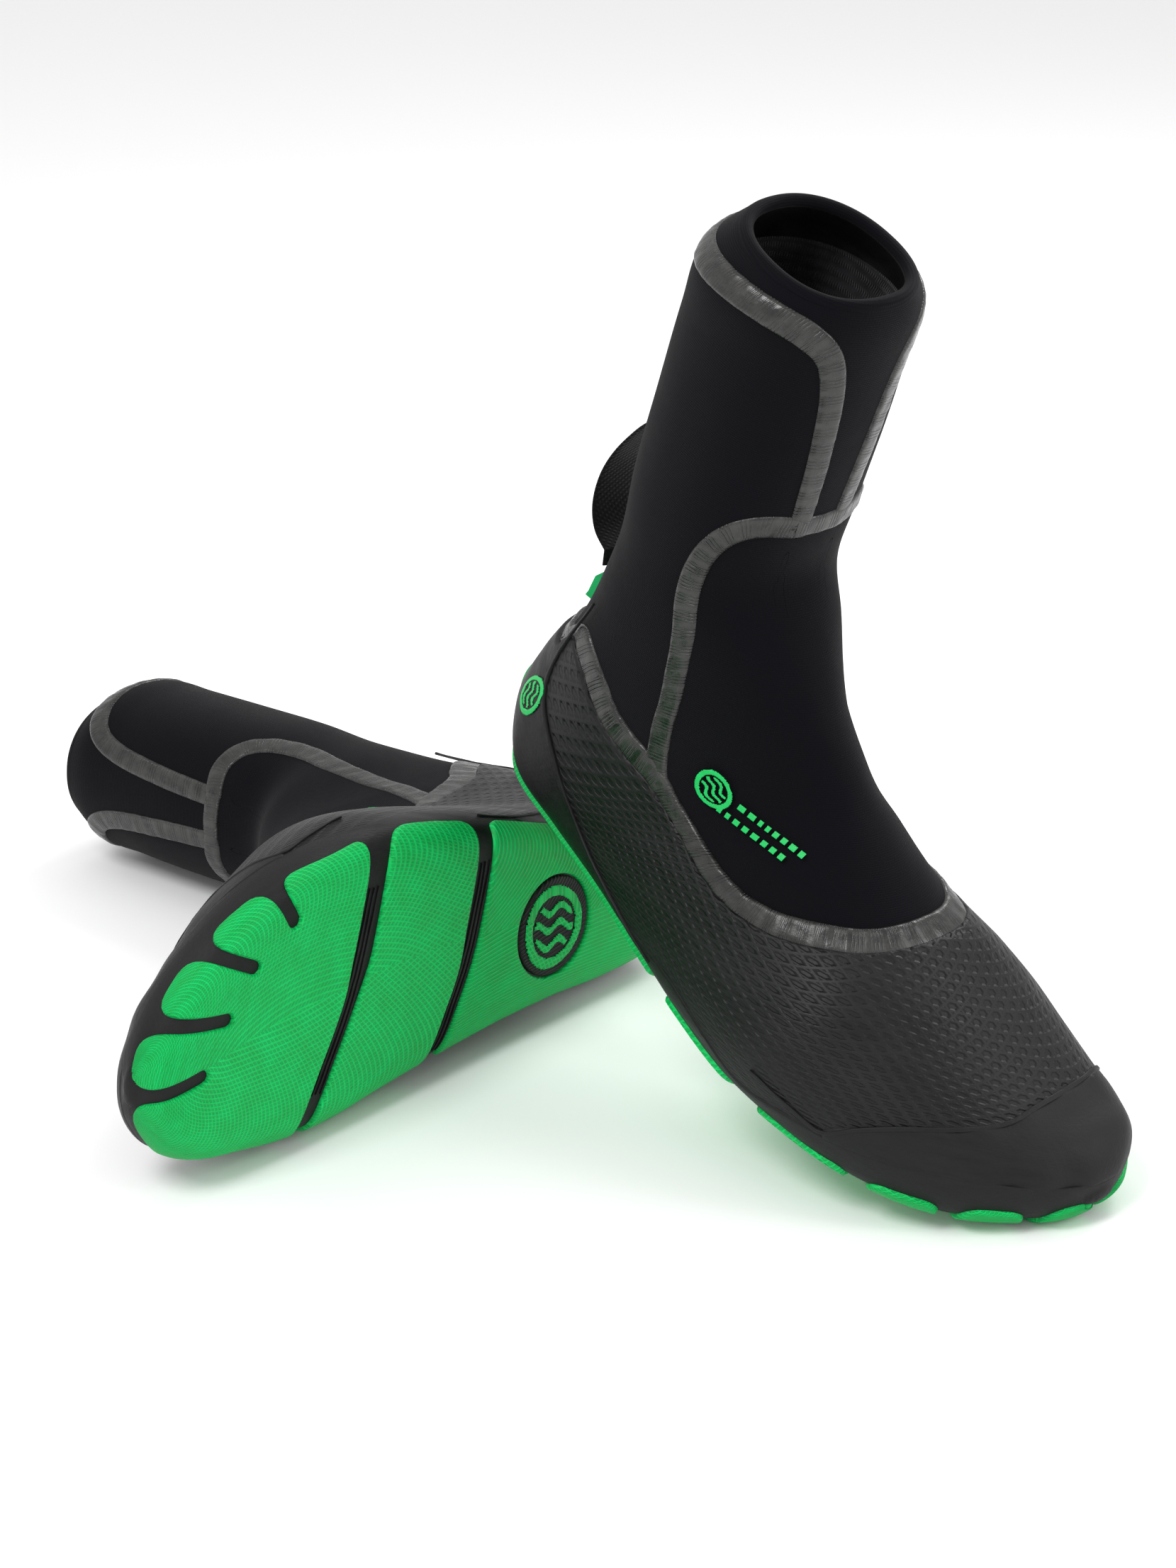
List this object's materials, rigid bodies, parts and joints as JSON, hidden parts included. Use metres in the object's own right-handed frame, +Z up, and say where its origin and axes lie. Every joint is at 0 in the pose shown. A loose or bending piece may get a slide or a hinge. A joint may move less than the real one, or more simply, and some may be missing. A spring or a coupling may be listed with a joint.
{
  "type": "pair of neoprene surf boots",
  "caption": "Pair of ankle-high neoprene surf boots with taped seams, rubber shell, toe-shaped green tread and heel pull loops; one lies on its side, the other leans over it.",
  "frame": {"origin": "middle of the pair's bounding box, on the ground the boots rest on", "axes": "+Z up; +X to the right and +Y away as seen from the side the lying boot's sole faces"},
  "size_m": [0.4023, 0.3743, 0.3318],
  "materials": {
    "neoprene": "matte knit jersey over foam rubber",
    "thermal_knit": "ribbed knit",
    "webbing": "woven tape",
    "seam_rubber": "glossy, wrinkled",
    "black_rubber": "satin, embossed",
    "green_rubber": "matte, knurled"
  },
  "bodies": {
    "left_boot": {"left_lining": "thermal_knit", "left_cuff_seal": "black_rubber", "left_foot_sock": "neoprene", "left_collar_panel": "neoprene", "left_side_panel_outer": "neoprene", "left_side_panel_inner": "neoprene", "left_instep_panel": "neoprene", "left_cross_tape": "seam_rubber", "left_collar_tape_outer": "seam_rubber", "left_collar_tape_inner": "seam_rubber", "left_ankle_tape_outer": "seam_rubber", "left_ankle_tape_inner": "seam_rubber", "left_edge_tape": "seam_rubber", "left_vamp": "black_rubber", "left_toe_cap": "black_rubber", "left_heel_counter": "black_rubber", "left_outsole": "black_rubber", "left_forefoot_pad": "green_rubber", "left_midfoot_pad": "green_rubber", "left_heel_pad": "green_rubber", "left_sole_window": "black_rubber", "left_heel_badge": "green_rubber", "left_achilles_strip": "green_rubber", "left_loop_root_upper": "webbing", "left_loop_root_lower": "webbing"},
    "left_loop": {"left_pull_loop": "webbing"},
    "right_boot": {"right_lining": "thermal_knit", "right_cuff_seal": "black_rubber", "right_foot_sock": "neoprene", "right_collar_panel": "neoprene", "right_side_panel_outer": "neoprene", "right_side_panel_inner": "neoprene", "right_instep_panel": "neoprene", "right_cross_tape": "seam_rubber", "right_collar_tape_outer": "seam_rubber", "right_collar_tape_inner": "seam_rubber", "right_ankle_tape_outer": "seam_rubber", "right_ankle_tape_inner": "seam_rubber", "right_edge_tape": "seam_rubber", "right_vamp": "black_rubber", "right_toe_cap": "black_rubber", "right_heel_counter": "black_rubber", "right_outsole": "black_rubber", "right_forefoot_pad": "green_rubber", "right_midfoot_pad": "green_rubber", "right_heel_pad": "green_rubber", "right_sole_window": "black_rubber", "right_heel_badge": "green_rubber", "right_achilles_strip": "green_rubber", "right_loop_root_upper": "webbing", "right_loop_root_lower": "webbing"},
    "right_loop": {"right_pull_loop": "webbing"}
  },
  "joints": [
    {"name": "right_boot_lifts_off", "type": "slide", "parent": "left_boot", "child": "right_boot", "axis": [0, 0, 1], "range_m": [0, 0.3]},
    {"name": "left_pull_loop_swing", "type": "hinge", "parent": "left_boot", "child": "left_loop", "pos_m": [-0.05518, 0.11683, 0.03447], "axis": [-0.8029, 0.5961, 0.0038], "range_deg": [-18, 18], "stiffness_Nm_per_rad": 0.01},
    {"name": "right_pull_loop_swing", "type": "hinge", "parent": "right_boot", "child": "right_loop", "pos_m": [0.03687, -0.03836, 0.21855], "axis": [0.2519, -0.3617, 0.8976], "range_deg": [-18, 18], "stiffness_Nm_per_rad": 0.01}
  ]
}
